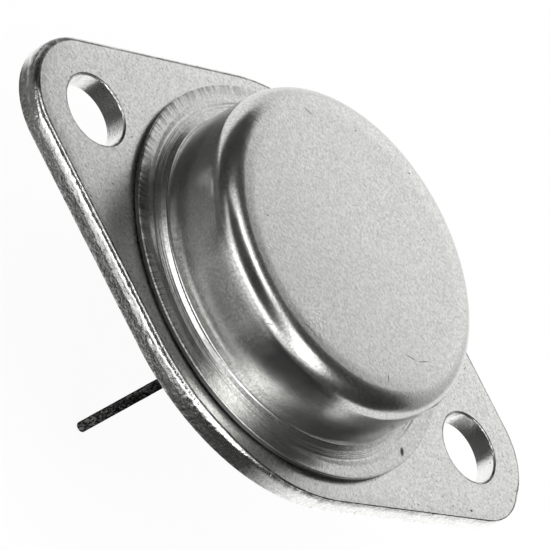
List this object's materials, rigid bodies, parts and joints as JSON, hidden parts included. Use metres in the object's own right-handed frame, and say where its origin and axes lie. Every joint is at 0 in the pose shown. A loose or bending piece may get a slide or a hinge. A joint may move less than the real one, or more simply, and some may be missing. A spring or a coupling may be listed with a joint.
{
  "type": "voltage regulator",
  "caption": "Voltage regulator in a low metal can: diamond-shaped steel base with two mounting holes, a drawn round cap and two leads sealed in glass on the underside.",
  "frame": {"origin": "centre of the mounting face, midway between the two mounting holes", "axes": "+X along the line of the two mounting holes, +Z from the base to the top of the cap; the leads stand out along -Z"},
  "size_m": [0.039, 0.0258, 0.0183],
  "materials": {
    "base_steel": "nickel plated, matt and finely mottled",
    "cap_steel": "nickel plated, drawn, satin wall and matt top",
    "lead_alloy": "nickel-iron wire, dull dark grey",
    "seal_glass": "dark fused glass, glossy",
    "copper": "bare rolled copper",
    "braze": "silver braze",
    "solder": "soft solder, dull",
    "silicon": "polished silicon",
    "bond_aluminium": "drawn wire, bright"
  },
  "bodies": {
    "root": {"header_base": "base_steel", "cap": "cap_steel", "input_lead": "lead_alloy", "output_lead": "lead_alloy", "input_seal": "seal_glass", "output_seal": "seal_glass", "heat_spreader": "copper", "spreader_braze": "braze", "die_solder": "solder", "regulator_die": "silicon", "input_wire_1": "bond_aluminium", "input_wire_2": "bond_aluminium", "output_wire_1": "bond_aluminium", "output_wire_2": "bond_aluminium", "ground_wire": "bond_aluminium"}
  },
  "joints": []
}
